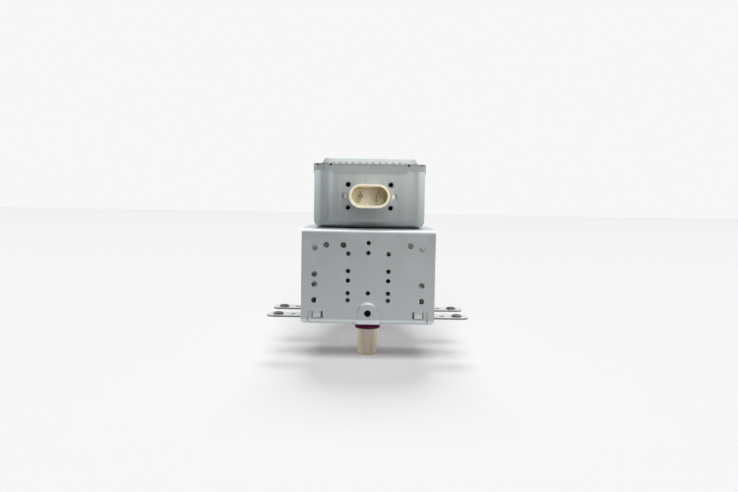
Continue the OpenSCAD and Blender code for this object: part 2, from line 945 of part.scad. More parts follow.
// The slit in a corner of the skirt, in the +X +Y corner
module corner_slit() {
    translate([box_x - box_corner_r, box_d / 2 - box_corner_r, lid_z1 - slit_top])
        rotate([0, 0, notch_deg]) {
            translate([lid_corner_r - slit_depth, -notch_w / 2, -skirt_h])
                cube([slit_depth + cut, notch_w, skirt_h]);
        }
}

module filter_lid() {
    z0 = lid_z1 - skirt_h;
    corner_z = lid_z1 - skirt_corner_h;
    color("silver")
    difference() {
        union() {
            cover(-lid_x, lid_x, lid_y0, lid_y1, z0, lid_z1, lid_corner_r, lid_edge_r);
            plateau(0);
            translate([0, box_back, 0]) {
                for (turn = [0, 180])
                    rotate([0, 0, turn]) {
                        edge_bead(slit_x, lid_y0 - box_back);
                        rotate([0, 0, 90])
                            edge_bead(slit_y, -lid_x);
                    }
            }
        }
        along_z(z0 - cut, box_z1)
            round_span(
                -box_x - lid_gap, box_y0 - lid_gap, box_x + lid_gap, box_y1 + lid_gap,
                box_corner_r + lid_gap);
        plateau(lid_t);
        relief_holes();
        translate([0, box_back, 0]) {
            for (turn = [0, 180])
                rotate([0, 0, turn]) {
                    along_y(lid_y0 - box_back - cut, lid_y0 - box_back + slit_depth)
                        skirt_cuts(slit_x);
                    rotate([0, 0, 90])
                        along_y(-lid_x - cut, -lid_x + slit_depth)
                            skirt_cuts(slit_y);
                }
            four_ways() {
                along_z(z0 - cut, corner_z)
                    span(slit_x, slit_y, lid_x + cut, lid_y1 + cut);
                corner_slit();
            }
        }
    }
}

// Rivets that hold the box floor down on the yoke, flush under the yoke's top
module box_rivets() {
    color("gray")
    rivet_places() {
        translate([0, 0, ceiling_z])
            cylinder(r = rivet_r, h = yoke_t + box_t);
        translate([0, 0, yoke_h + box_t])
            cylinder(r1 = rivet_head_r, r2 = rivet_r, h = rivet_head_t);
    }
}

// Plug socket and feed-through capacitor

// Carries an outline centred on the socket's line along Y
module socket_line(y0, y1) {
    translate([0, 0, socket_cz])
        along_y(y0, y1)
            children();
}

// The two places where a terminal passes
module rod_places() {
    for (x = [-1, 1])
        translate([x * blade_x, 0])
            children();
}

// The socket's inside: an oval that narrows from the mouth to the floor
module socket_hollow() {
    mouth_r = socket_h / 2 - socket_wall;
    floor_r = mouth_r - socket_draft;
    end_x = (socket_w - socket_h) / 2;
    for (x = [-end_x, end_x])
        translate([x, socket_y0, socket_cz])
            rotate([-90, 0, 0])
                cylinder(r1 = mouth_r, r2 = floor_r, h = socket_floor_y - socket_y0);
    along_x(-end_x, end_x)
        translate([0, socket_cz])
            polygon([
                [socket_y0, -mouth_r],
                [socket_floor_y, -floor_r],
                [socket_floor_y, floor_r],
                [socket_y0, mouth_r]
            ]);
}

// The socket: an oval cup through the box wall, with wings behind the wall that carry the latch lugs
module connector_shroud() {
    color("ivory")
    difference() {
        union() {
            socket_line(socket_y0, ground_y0)
                oval(socket_w, socket_h);
            socket_line(wall_in_y, ground_y0)
                square([wing_w, wing_h], center = true);
            socket_line(box_y0 + lug_in, ground_y0)
                for (side = [0, 1])
                    mirror([side, 0])
                        span(lug_x, -lug_h / 2, lug_x + lug_w, lug_h / 2);
        }
        socket_hollow();
        socket_line(socket_floor_y - cut, ground_y0 + cut)
            rod_places()
                circle(rod_r + slip);
    }
}

// The capacitor's earth plate, with four drawn collars that pass through the box wall
module capacitor_plate() {
    color("silver")
    difference() {
        union() {
            socket_line(ground_y0, ground_y1)
                round_span(-ground_w / 2, -ground_h / 2, ground_w / 2, ground_h / 2, 3);
            socket_line(box_y0, ground_y1)
                stake_places()
                    circle(collar_r);
        }
        socket_line(ground_y0 - cut, ground_y1 + cut)
            oval(ceramic_w - 2, ceramic_h - 2);
        socket_line(box_y0 - cut, ground_y1 + cut)
            stake_places()
                circle(d = stake_d);
    }
}

module capacitor_ceramic() {
    color("saddlebrown")
    socket_line(ground_y1, ground_y1 + ceramic_len)
        difference() {
            oval(ceramic_w, ceramic_h);
            rod_places()
                circle(rod_r + slip);
        }
}

module capacitor_case() {
    color("ivory")
    difference() {
        socket_line(ground_y1, case_y1)
            oval(case_w, case_h);
        socket_line(ground_y1 - cut, case_y1 - case_wall)
            oval(case_w - 2 * case_wall, case_h - 2 * case_wall);
        socket_line(case_y1 - case_wall - cut, case_y1 + cut)
            rod_places()
                circle(rod_r + slip);
    }
}

// The right terminal: a plug blade outside, a rod through the capacitor, and a solder lug in the box
module terminal() {
    nose = 1.2;
    along_x(blade_x - blade_t / 2, blade_x + blade_t / 2)
        translate([0, socket_cz])
            difference() {
                polygon([
                    [blade_tip_y, -blade_w / 2 + nose],
                    [blade_tip_y + nose, -blade_w / 2],
                    [socket_floor_y, -blade_w / 2],
                    [socket_floor_y, blade_w / 2],
                    [blade_tip_y + nose, blade_w / 2],
                    [blade_tip_y, blade_w / 2 - nose]
                ]);
                translate([blade_tip_y + 3.5, 0])
                    circle(0.9);
            }
    socket_line(socket_floor_y, lug_y0 + lug_len / 4)
        translate([blade_x, 0])
            circle(rod_r);
    along_x(blade_x - blade_t / 2, blade_x + blade_t / 2)
        translate([0, socket_cz])
            span(lug_y0, -rod_r * 1.6, lug_y0 + lug_len, rod_r * 1.6);
}

module terminal_left() {
    color("silver")
    mirror([1, 0, 0])
        terminal();
}

module terminal_right() {
    color("silver")
    terminal();
}

// Choke coils and their ferrite cores

// A point on a cubic curve through four control points
function curve_point(p, t) =
    pow(1 - t, 3) * p[0] + 3 * t * pow(1 - t, 2) * p[1] + 3 * t * t * (1 - t) * p[2] + pow(t, 3) * p[3];

// The right coil's wire: from the capacitor's lug along the coil, then over to the stem's lug
choke_start = [blade_x + blade_t / 2 + slip / 2, choke_y0, socket_cz];
choke_end = [lead_x + stem_lug_t / 2 + slip / 2, 0, stem_top + stem_pad_t + stem_lug_h * 0.6];
choke_out = [choke_x, choke_y1, choke_z - choke_r];
choke_steps = choke_turns * 12;
choke_path = concat(
    [choke_start],
    [for (i = [0:choke_steps])
        let (a = 90 - 360 * choke_turns * i / choke_steps)
        [
            choke_x + choke_r * cos(a),
            choke_y0 + choke_pitch * choke_turns * i / choke_steps,
            choke_z + choke_r * sin(a)
        ]
    ],
    [for (i = [1:14])
        curve_point(
            [choke_out, choke_out - [12, 0, 0], choke_end + [8, 0, 0], choke_end], i / 14)
    ]
);

module choke_coil_left() {
    color("peru")
    mirror([1, 0, 0])
        wire(choke_path, choke_wire_r);
}

module choke_coil_right() {
    color("peru")
    wire(choke_path, choke_wire_r);
}

module choke_core() {
    translate([choke_x, choke_y0 + 1, choke_z])
        rotate([-90, 0, 0])
            cylinder(r = choke_core_r, h = choke_y1 - choke_y0 - 2);
}

module choke_core_left() {
    color("dimgray")
    mirror([1, 0, 0])
        choke_core();
}

module choke_core_right() {
    color("dimgray")
    choke_core();
}

// Magnets

// A ring magnet with small chamfers at its four edges
module magnet(z0) {
    chamfer = 0.8;
    r0 = magnet_in_r;
    r1 = magnet_d / 2;
    z1 = z0 + magnet_t;
    rotate_extrude($fn = 96)
        polygon([
            [r0, z0],
            [r1 - chamfer, z0],
            [r1, z0 + chamfer],
            [r1, z1 - chamfer],
            [r1 - chamfer, z1],
            [r0, z1]
        ]);
}

module upper_magnet() {
    color("darkslategray")
    magnet(ceiling_z - magnet_t);
}

module lower_magnet() {
    color("darkslategray")
    magnet(plate_t);
}

// Anode

module anode_shell() {
    color("chocolate")
    ring(anode_in_r, anode_r, anode_z0, anode_z1);
}

// The groove in a vane's upper edge: a seat for its own strap, and deeper clearance for the other
module strap_groove(inner_seat) {
    mid_r = (strap_in_r + strap_w + strap_out_r) / 2;
    inner_h = strap_h + (inner_seat ? 0 : strap_clear);
    outer_h = strap_h + (inner_seat ? strap_clear : 0);
    rotate_extrude() {
        span(strap_in_r - strap_clear, vane_z1 - inner_h, mid_r, vane_z1 + cut);
        span(mid_r - slip, vane_z1 - outer_h, strap_out_r + strap_w + strap_clear, vane_z1 + cut);
    }
}

// The part of a vane groove at the lower edge, as the upper one turned over
module turn_over() {
    translate([0, 0, 2 * anode_mid])
        mirror([0, 0, 1])
            children();
}

module vane(i) {
    inner_seat = i % 2 == 0;
    color("chocolate")
    difference() {
        intersection() {
            rotate([0, 0, 360 * (i - 1) / vane_count])
                translate([vane_tip_r, -vane_t / 2, vane_z0])
                    cube([anode_r, vane_t, vane_h]);
            translate([0, 0, vane_z0 - cut])
                cylinder(r = anode_in_r, h = vane_h + 2 * cut);
        }
        strap_groove(inner_seat);
        turn_over()
            strap_groove(!inner_seat);
    }
}

module strap_upper_inner() {
    color("chocolate")
    ring(strap_in_r, strap_in_r + strap_w, vane_z1 - strap_h, vane_z1);
}

module strap_upper_outer() {
    color("chocolate")
    ring(strap_out_r, strap_out_r + strap_w, vane_z1 - strap_h, vane_z1);
}

module strap_lower_inner() {
    color("chocolate")
    turn_over()
        strap_upper_inner();
}

module strap_lower_outer() {
    color("chocolate")
    turn_over()
        strap_upper_outer();
}

// A dished pole piece at the anode's upper end, its rim inside the shell
module pole_piece() {
    z0 = vane_z1 + pole_gap;
    rim_r = anode_in_r - 2.4;
    rotate_extrude()
        polygon([
            [pole_hole_r, z0],
            [pole_flat_r, z0],
            [rim_r + 0.6, anode_z1 - pole_t],
            [anode_in_r, anode_z1 - pole_t],
            [anode_in_r, anode_z1],
            [rim_r, anode_z1],
            [pole_flat_r - 0.6, z0 + pole_t],
            [pole_hole_r, z0 + pole_t]
        ]);
}

module pole_piece_upper() {
    color("gray")
    pole_piece();
}

module pole_piece_lower() {
    color("gray")
    difference() {
        turn_over()
            pole_piece();
        rod_path(antenna_path, antenna_r + 1);
    }
}

// Seals, stem and cathode

// The thin-walled seal above the anode: a flange on the shell, a tube, and a lip under the stem
module cathode_seal() {
    color("lightsteelblue")
    rotate_extrude() {
        span(seal_r - seal_t, anode_z1, anode_r - 0.2, anode_z1 + seal_t);
        span(seal_r - seal_t, anode_z1, seal_r, stem_z0);
        span(insulator_in_r, stem_z0 - seal_t, seal_r, stem_z0);
    }
}

module output_seal() {
    color("lightsteelblue")
    rotate_extrude() {
        span(seal_r - seal_t, anode_z0 - seal_t, anode_r - 0.2, anode_z0);
        span(seal_r - seal_t, -seal_tip, seal_r, anode_z0);
        span(insulator_in_r, -seal_tip, seal_r, -seal_tip + seal_t);
    }
}

module stem_ceramic() {
    color("mistyrose")
    difference() {
        translate([0, 0, stem_z0])
            cylinder(r = stem_r, h = stem_h);
        for (x = [-1, 1])
            translate([x * lead_x, 0, stem_z0 - cut])
                cylinder(r = lead_r + slip / 2, h = stem_h + 2 * cut);
    }
}

// The right stem terminal: a pad round the lead, and the lug that takes the choke's wire
module stem_terminal() {
    difference() {
        union() {
            translate([lead_x, 0, stem_top])
                cylinder(r = 2.2, h = stem_pad_t);
            translate([lead_x - stem_lug_t / 2, -2, stem_top])
                cube([stem_lug_t, 4, stem_pad_t + stem_lug_h]);
        }
        translate([lead_x, 0, stem_top - cut])
            cylinder(r = lead_r + slip / 2, h = cut + stem_pad_t + 1);
    }
}

module stem_terminal_left() {
    color("silver")
    mirror([1, 0, 0])
        stem_terminal();
}

module stem_terminal_right() {
    color("silver")
    stem_terminal();
}

module centre_lead() {
    color("dimgray")
    rod_path([
        [0, 0, hat_low_z1],
        [0, 0, anode_z1 + 3],
        [-lead_x, 0, anode_z1 + 7],
        [-lead_x, 0, stem_top + stem_pad_t]
    ], lead_r);
}

module side_lead() {
    color("dimgray")
    rod([lead_x, 0, hat_up_z0 + hat_t], [lead_x, 0, stem_top + stem_pad_t], lead_r);
}

filament_z0 = hat_low_z1 + filament_wire_r;
filament_rise = hat_up_z0 - hat_low_z1 - 2 * filament_wire_r;
filament_steps = filament_turns * 14;
filament_path = [
    for (i = [0:filament_steps])
        let (a = 360 * filament_turns * i / filament_steps)
        [
            filament_r * cos(a),
            filament_r * sin(a),
            filament_z0 + filament_rise * i / filament_steps
        ]
];

module filament() {
    color("dimgray")
    wire(filament_path, filament_wire_r, 6);
}

module end_hat_upper() {
    color("dimgray")
    ring(lead_r + 0.5, hat_r, hat_up_z0, hat_up_z0 + hat_t);
}

module end_hat_lower() {
    color("dimgray")
    translate([0, 0, hat_low_z1 - hat_t])
        cylinder(r = hat_r, h = hat_t);
}

// Antenna

// The antenna lead's line: from a vane, out through the lower pole piece and down the axis
antenna_path = [
    [antenna_vane_r, 0, vane_z0],
    [antenna_vane_r, 0, vane_z0 - 4.2],
    [6.5, 0, anode_z0 - 0.4],
    [0, 0, anode_z0 - 6],
    [0, 0, -cap_top - tube_len + pinch_len]
];

module antenna_lead() {
    color("peru")
    rod_path(antenna_path, antenna_r);
}

module output_ceramic() {
    color("plum")
    ring(insulator_in_r, insulator_d / 2, -insulator_end, -seal_tip);
}

// The metal end of the insulator: a disc round the exhaust tube, with a collar inside the cap
module exhaust_seal() {
    collar_r = cap_in_r - slip / 2;
    color("lightsteelblue")
    rotate_extrude() {
        span(tube_r, -cap_top, cap_d / 2 - 0.2, -insulator_end);
        span(collar_r - exhaust_t, -cap_top - exhaust_skirt_h, collar_r, -insulator_end);
    }
}

// The exhaust tube, pinched shut to a wedge when the tube was sealed off
module exhaust_tube() {
    pinch_z1 = -cap_top - tube_len + pinch_len;
    color("peru") {
        ring(tube_r - tube_wall, tube_r, pinch_z1, -insulator_end + 1.5);
        intersection() {
            translate([0, 0, pinch_z1 - pinch_len])
                cylinder(r = tube_r, h = pinch_len);
            along_x(-tube_r, tube_r)
                polygon([
                    [-tube_r, pinch_z1],
                    [tube_r, pinch_z1],
                    [0.5, pinch_z1 - pinch_len],
                    [-0.5, pinch_z1 - pinch_len]
                ]);
        }
    }
}

// Half of a cap outline, from its rim to its axis: a wall that leans in and meets the round end smoothly
function cap_points(r_top, z_end, end_r) =
    let (
        steps = 12,
        end_z = z_end + end_r,
        end_x = r_top - end_r / cos(cap_lean) - (-cap_top - end_z) * tan(cap_lean)
    )
    concat(
        [[r_top, -cap_top]],
        [for (i = [0:steps])
            let (a = cap_lean + (90 - cap_lean) * i / steps)
            [end_x + end_r * cos(a), end_z - end_r * sin(a)]
        ],
        [[0, z_end]]
    );

function reversed(list) = [for (i = [len(list) - 1:-1:0]) list[i]];

module antenna_cap() {
    outside = cap_points(cap_d / 2, -antenna_len, cap_end_r);
    inside = cap_points(cap_d / 2 - cap_t / cos(cap_lean), -antenna_len + cap_t, cap_end_r - cap_t);
    color("tan")
    rotate_extrude()
        polygon(concat(outside, reversed(inside)));
}

module gasket() {
    color("darkgray")
    rotate_extrude()
        round_span(seal_r + slip, -gasket_h, gasket_d / 2, 0, 1.2);
}

// Fins

// A fin on the anode: a sheet with a collar, and four arms that turn up against the legs
module fin(i) {
    z = fin_first + (i - 1) * fin_pitch;
    color("whitesmoke") {
        along_z(z, z + fin_t)
            difference() {
                union() {
                    span(-fin_x, -fin_leg_y + fin_set_back, fin_x, fin_leg_y - fin_set_back);
                    four_ways()
                        span(fin_tab_x - fin_tab_w, 0, fin_tab_x, fin_leg_y);
                }
                circle(anode_r);
            }
        ring(anode_r, anode_r + fin_collar_t, z - fin_collar_h, z + fin_t);
        four_ways()
            translate([fin_tab_x - fin_tab_w, fin_leg_y - fin_t, z])
                cube([fin_tab_w, fin_t, fin_tab_h]);
    }
}

yoke_frame();
flange_plate();
filter_box();
filter_lid();
box_rivets();
connector_shroud();
capacitor_plate();
capacitor_ceramic();
capacitor_case();
terminal_left();
terminal_right();
choke_coil_left();
choke_coil_right();
choke_core_left();
choke_core_right();
upper_magnet();
lower_magnet();
anode_shell();
for (i = [1:vane_count])
    vane(i);
strap_upper_inner();
strap_upper_outer();
strap_lower_inner();
strap_lower_outer();
pole_piece_upper();
pole_piece_lower();
cathode_seal();
output_seal();
stem_ceramic();
stem_terminal_left();
stem_terminal_right();
centre_lead();
side_lead();
filament();
end_hat_upper();
end_hat_lower();
output_ceramic();
antenna_lead();
exhaust_seal();
exhaust_tube();
antenna_cap();
gasket();
for (i = [1:fin_count])
    fin(i);
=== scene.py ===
"""Looks of a cooker's magnetron: finishes on the CAD frame, a wire gasket and a studio."""

import math

import bpy
import numpy as np
from bpy.props import FloatProperty, FloatVectorProperty, PointerProperty
from mathutils import Matrix, Vector


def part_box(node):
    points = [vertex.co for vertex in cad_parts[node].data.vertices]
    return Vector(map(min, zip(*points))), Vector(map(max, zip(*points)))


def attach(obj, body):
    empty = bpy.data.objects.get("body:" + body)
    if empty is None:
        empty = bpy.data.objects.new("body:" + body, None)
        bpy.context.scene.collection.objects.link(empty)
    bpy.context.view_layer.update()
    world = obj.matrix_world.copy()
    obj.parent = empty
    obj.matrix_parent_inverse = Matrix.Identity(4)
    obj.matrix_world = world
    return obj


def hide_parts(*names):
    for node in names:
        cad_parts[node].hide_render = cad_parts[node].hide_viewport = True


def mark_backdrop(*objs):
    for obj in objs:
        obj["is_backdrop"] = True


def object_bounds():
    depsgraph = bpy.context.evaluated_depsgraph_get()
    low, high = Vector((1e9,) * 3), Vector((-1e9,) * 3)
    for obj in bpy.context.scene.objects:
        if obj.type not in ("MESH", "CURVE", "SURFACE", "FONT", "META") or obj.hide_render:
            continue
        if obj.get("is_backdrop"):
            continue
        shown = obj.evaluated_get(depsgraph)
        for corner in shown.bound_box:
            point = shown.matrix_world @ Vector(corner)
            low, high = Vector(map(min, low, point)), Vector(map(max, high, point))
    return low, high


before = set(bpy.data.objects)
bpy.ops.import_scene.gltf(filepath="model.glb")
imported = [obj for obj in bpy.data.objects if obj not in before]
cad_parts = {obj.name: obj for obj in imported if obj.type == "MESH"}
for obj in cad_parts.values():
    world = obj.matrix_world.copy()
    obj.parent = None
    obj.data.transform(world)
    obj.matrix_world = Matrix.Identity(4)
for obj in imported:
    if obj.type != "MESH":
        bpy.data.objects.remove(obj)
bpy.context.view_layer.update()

bl_info = {
    "name": "Magnetron",
    "version": (1, 0, 0),
    "blender": (4, 5, 0),
    "location": "View3D > Sidebar > Magnetron",
    "description": "Finishes, wire gasket and studio of a magnetron",
    "category": "Object",
}

MM = 0.001
# height of the band at the yoke's foot that is painted bright: a painted highlight
FOOT_HIGHLIGHT_BAND = 2.7 * MM
# heights between which the painted shade on the inside of the yoke's legs goes from dark to
# light
INSIDE_SHADE_SPAN = (28.0 * MM, 44.0 * MM)
# depth times facing of the sheet, below which a face looks inwards and takes painted shade
INWARD_SPAN = (-20.0 * MM, -10.0 * MM)
# width of the gasket's ring
GASKET_WIDTH = 5.2 * MM
# how far the card reaches round to each side, in degrees, and in how many points
CARD_TURN, CARD_POINTS = 75, 61
# heights on the card, and its brightness at them
CARD_RISE, CARD_LEVELS = (0.05, 0.5), (0.32, 2.6)
# the card's light is a little blue on the left and a little yellow on the right
COOL, WARM = (0.94, 1.0, 1.03), (1.09, 1.0, 0.9)
# how the card's brightness goes from its left end to its right end: place, tint, level
CARD_PROFILE = (
    (0.0, COOL, 1.0),
    (0.15, COOL, 0.8),
    (0.22, COOL, 0.2),
    (0.31, COOL, 0.2),
    (0.38, COOL, 0.65),
    (0.6, WARM, 1.4),
    (0.74, WARM, 0.5),
    (1.0, WARM, 0.25),
)


def linear(hex_colour):
    """Linear RGB of an sRGB hex value such as #b0b0b0."""
    srgb = [int(hex_colour[i : i + 2], 16) / 255 for i in (1, 3, 5)]
    return tuple(
        c / 12.92 if c <= 0.04045 else ((c + 0.055) / 1.055) ** 2.4 for c in srgb
    )


def colour_value(name, description, hex_colour):
    """A colour that the panel shows, with its default from an sRGB hex value."""
    return FloatVectorProperty(
        name=name,
        description=description,
        subtype="COLOR",
        size=3,
        min=0.0,
        max=1.0,
        default=linear(hex_colour),
    )


def length_value(name, description, millimetres, largest=10000.0):
    """A length that the panel shows, given in millimetres and kept in metres."""
    return FloatProperty(
        name=name,
        description=description,
        subtype="DISTANCE",
        unit="LENGTH",
        min=0.0,
        max=largest * MM,
        default=millimetres * MM,
    )


def angle_value(name, description, degrees):
    """An angle that the panel shows, given in degrees."""
    return FloatProperty(
        name=name,
        description=description,
        subtype="ANGLE",
        unit="ROTATION",
        default=math.radians(degrees),
    )


def power_value(name, description, watts):
    """A lamp's power that the panel shows."""
    return FloatProperty(
        name=name,
        description=description,
        subtype="POWER",
        unit="POWER",
        min=0.0,
        default=watts,
    )


class MagnetronFinish(bpy.types.PropertyGroup):
    """Colours of the pieces."""

    zinc: colour_value("Zinc", "Plated sheet of the yoke", "#bcc2c5")
    flange: colour_value("Flange", "Plated sheet of the flange", "#d2d4d5")
    box: colour_value("Box", "Drawn sheet of the filter box", "#b4babd")
    lid: colour_value("Lid", "Plated sheet of the lid", "#9ea3a4")
    resin: colour_value("Resin", "Moulded plug socket", "#f6efdb")
    tin: colour_value("Tin", "Plug blades", "#c4bba2")
    alumina: colour_value("Alumina", "Output insulator", "#a83870")
    cap: colour_value("Cap", "Antenna cap", "#e0d4c1")
    # the fins' grey is darker than bare aluminium: painted shade for the inside of the yoke
    fins: colour_value("Fins", "Cooling fins", "#9c9ea0")
    copper: colour_value("Copper", "Vanes, straps and leads", "#b87a5e")
    # the anode's dark brown is painted shade, standing in for the shade inside the yoke
    anode_shade: colour_value("Baked copper", "Anode, browned in the braze furnace", "#4a3328")
    ferrite: colour_value("Ferrite", "Magnets and choke rods", "#3b3a3c")
    iron: colour_value("Iron", "Pole pieces", "#8f9192")
    alloy: colour_value("Seal alloy", "Seals brazed to the ceramics", "#a9a49a")
    white: colour_value("White ceramic", "Stem insulator", "#e6e3dc")
    brown: colour_value("Brown resin", "Feed-through capacitor", "#6d4a35")
    enamel: colour_value("Enamel", "Coating of the choke wire", "#9a4a26")
    tungsten: colour_value("Tungsten", "Filament and its supports", "#6f6c6a")
    mesh: colour_value("Wire", "Knitted wire of the gasket", "#a5a6a4")


class MagnetronGasket(bpy.types.PropertyGroup):
    """Sizes of the knitted wire ring."""

    wire: length_value("Wire", "Thickness of the knitted wire", 0.24, 1.0)
    sink: length_value("Core", "Depth of the packed core under the wire", 0.3, 1.0)


class MagnetronStage(bpy.types.PropertyGroup):
    """Floor, lights and camera."""

    floor: colour_value("Floor", "Paper that the object stands on", "#f6f6f6")
    floor_reach: length_value("Floor reach", "Half width of the floor", 6000.0)
    card: colour_value("Card", "Grey card behind the camera", "#8f9396")
    card_far: length_value("Card distance", "From the object to the card", 900.0)
    card_high: length_value("Card height", "Height of the card", 1000.0)
    room: FloatProperty(
        name="Room", description="Brightness of the white room", min=0.0, default=0.93
    )
    fill: FloatProperty(
        name="Fill", description="Brightness of the fill light", min=0.0, default=0.04
    )
    lamp_far: length_value(
        "Lamp distance", "From the object to the strip lamps", 60000.0, 100000.0
    )
    strip_length: length_value(
        "Strip length", "Length of a strip lamp", 80000.0, 200000.0
    )
    strip_width: length_value(
        "Strip width", "Width of a strip lamp", 20000.0, 100000.0
    )
    back_lean: angle_value("Back lean", "Angle of the back strip from upright", -26)
    back_power: power_value("Back power", "Power of the back strip", 14500.0)
    rear_lean: angle_value("Rear lean", "Angle of the rear strip from upright", -43)
    rear_power: power_value("Rear power", "Power of the rear strip", 3800.0)
    top_lean: angle_value("Top lean", "Angle of the top strip from upright", 12)
    top_power: power_value("Top power", "Power of the top strip", 14500.0)
    floor_length: length_value(
        "Floor lamp length", "Length of the floor's lamps", 30000.0, 200000.0
    )
    floor_width: length_value(
        "Floor lamp width", "Width of the floor's lamps", 34000.0, 200000.0
    )
    front_lean: angle_value("Front lean", "Angle of the floor's front lamp", 55)
    front_power: power_value("Front power", "Power of the floor's front lamp", 40500.0)
    behind_lean: angle_value("Behind lean", "Angle of the floor's back lamp", -35)
    behind_power: power_value("Behind power", "Power of the floor's back lamp", 17400.0)
    box_far: length_value("Box distance", "From the object to the soft box", 480.0)
    box_size: length_value("Box size", "Length and height of the soft box", 500.0)
    box_turn: angle_value("Box turn", "Soft box's place, from the front to the right", 35)
    box_lean: angle_value("Box lean", "Angle of the soft box from upright", 52)
    box_tint: colour_value("Box tint", "Colour of the soft box", "#fffaf2")
    box_power: power_value("Box power", "Power of the soft box", 2.8)
    lens: FloatProperty(
        name="Lens",
        description="Focal length in millimetres",
        unit="CAMERA",
        min=1.0,
        default=35.0,
    )
    camera_at: FloatVectorProperty(
        name="Camera",
        description="Place of the camera",
        subtype="TRANSLATION",
        unit="LENGTH",
        size=3,
        default=(0.25 * MM, -482.73 * MM, 75.02 * MM),
    )
    camera_down: FloatProperty(
        name="Tilt",
        description="How far the camera looks down",
        subtype="ANGLE",
        unit="ROTATION",
        default=0.06167,
    )
    camera_roll: FloatProperty(
        name="Roll",
        description="How far the camera leans",
        subtype="ANGLE",
        unit="ROTATION",
        default=0.01658,
    )


# --- shader helpers -------------------------------------------------------


def add(tree, kind, inputs=None, **settings):
    """Adds one node, sets its properties, and gives each named socket a value or a link."""
    node = tree.nodes.new(kind)
    for key, value in settings.items():
        setattr(node, key, value)
    for key, value in (inputs or {}).items():
        if isinstance(value, bpy.types.NodeSocket):
            tree.links.new(value, node.inputs[key])
        else:
            node.inputs[key].default_value = value
    return node


def blend(tree, factor, first, second):
    """Colour that goes from first to second as the factor goes from 0 to 1."""
    return add(
        tree, "ShaderNodeMix", {0: factor, 6: first, 7: second}, data_type="RGBA"
    ).outputs[2]


def ramp(tree, value, source, target):
    """Value carried from the source range to the target range, and held at its ends."""
    inputs = dict(enumerate((value, *source, *target)))
    return add(tree, "ShaderNodeMapRange", inputs).outputs[0]


def calculate(tree, operation, *values):
    """Result of one plain sum on one or two values."""
    return add(
        tree, "ShaderNodeMath", dict(enumerate(values)), operation=operation
    ).outputs[0]


def scaled(tree, colour, level):
    """Colour times a level."""
    return add(
        tree, "ShaderNodeVectorMath", {0: colour, "Scale": level}, operation="SCALE"
    ).outputs[0]


def split(tree, vector):
    """Outputs X, Y and Z of a vector."""
    return add(tree, "ShaderNodeSeparateXYZ", {"Vector": vector}).outputs


def per_mm(size):
    """Pattern scale, in repeats per metre, of a feature that is size millimetres across."""
    return 1000.0 / size


def shade(colour, factor):
    """A colour made lighter or darker, as RGBA."""
    return tuple(min(1.0, c * factor) for c in colour) + (1.0,)


def open_material(name):
    """A new node material, its tree and the object coordinates that its patterns use."""
    material = bpy.data.materials.new(name)
    material.use_nodes = True
    tree = material.node_tree
    tree.nodes.clear()
    place = add(tree, "ShaderNodeTexCoord").outputs["Object"]
    return material, tree, place


def close_material(tree, colour, roughness, normal, **sockets):
    """Ends a tree in one Principled shader."""
    inputs = {"Base Color": colour, "Roughness": roughness, "Normal": normal}
    inputs.update({key.replace("_", " "): value for key, value in sockets.items()})
    shader = add(tree, "ShaderNodeBsdfPrincipled", inputs)
    add(tree, "ShaderNodeOutputMaterial", {"Surface": shader.outputs[0]})


def dress(material, *names):
    """Gives CAD nodes a material on every slot they have."""
    for name in names:
        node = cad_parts[name]
        if not node.material_slots:
            node.data.materials.append(material)
        for slot in node.material_slots:
            slot.material = material


def numbered(stem, count):
    """Node names stem_1 to stem_count."""
    return [f"{stem}_{i + 1}" for i in range(count)]


# --- materials ------------------------------------------------------------


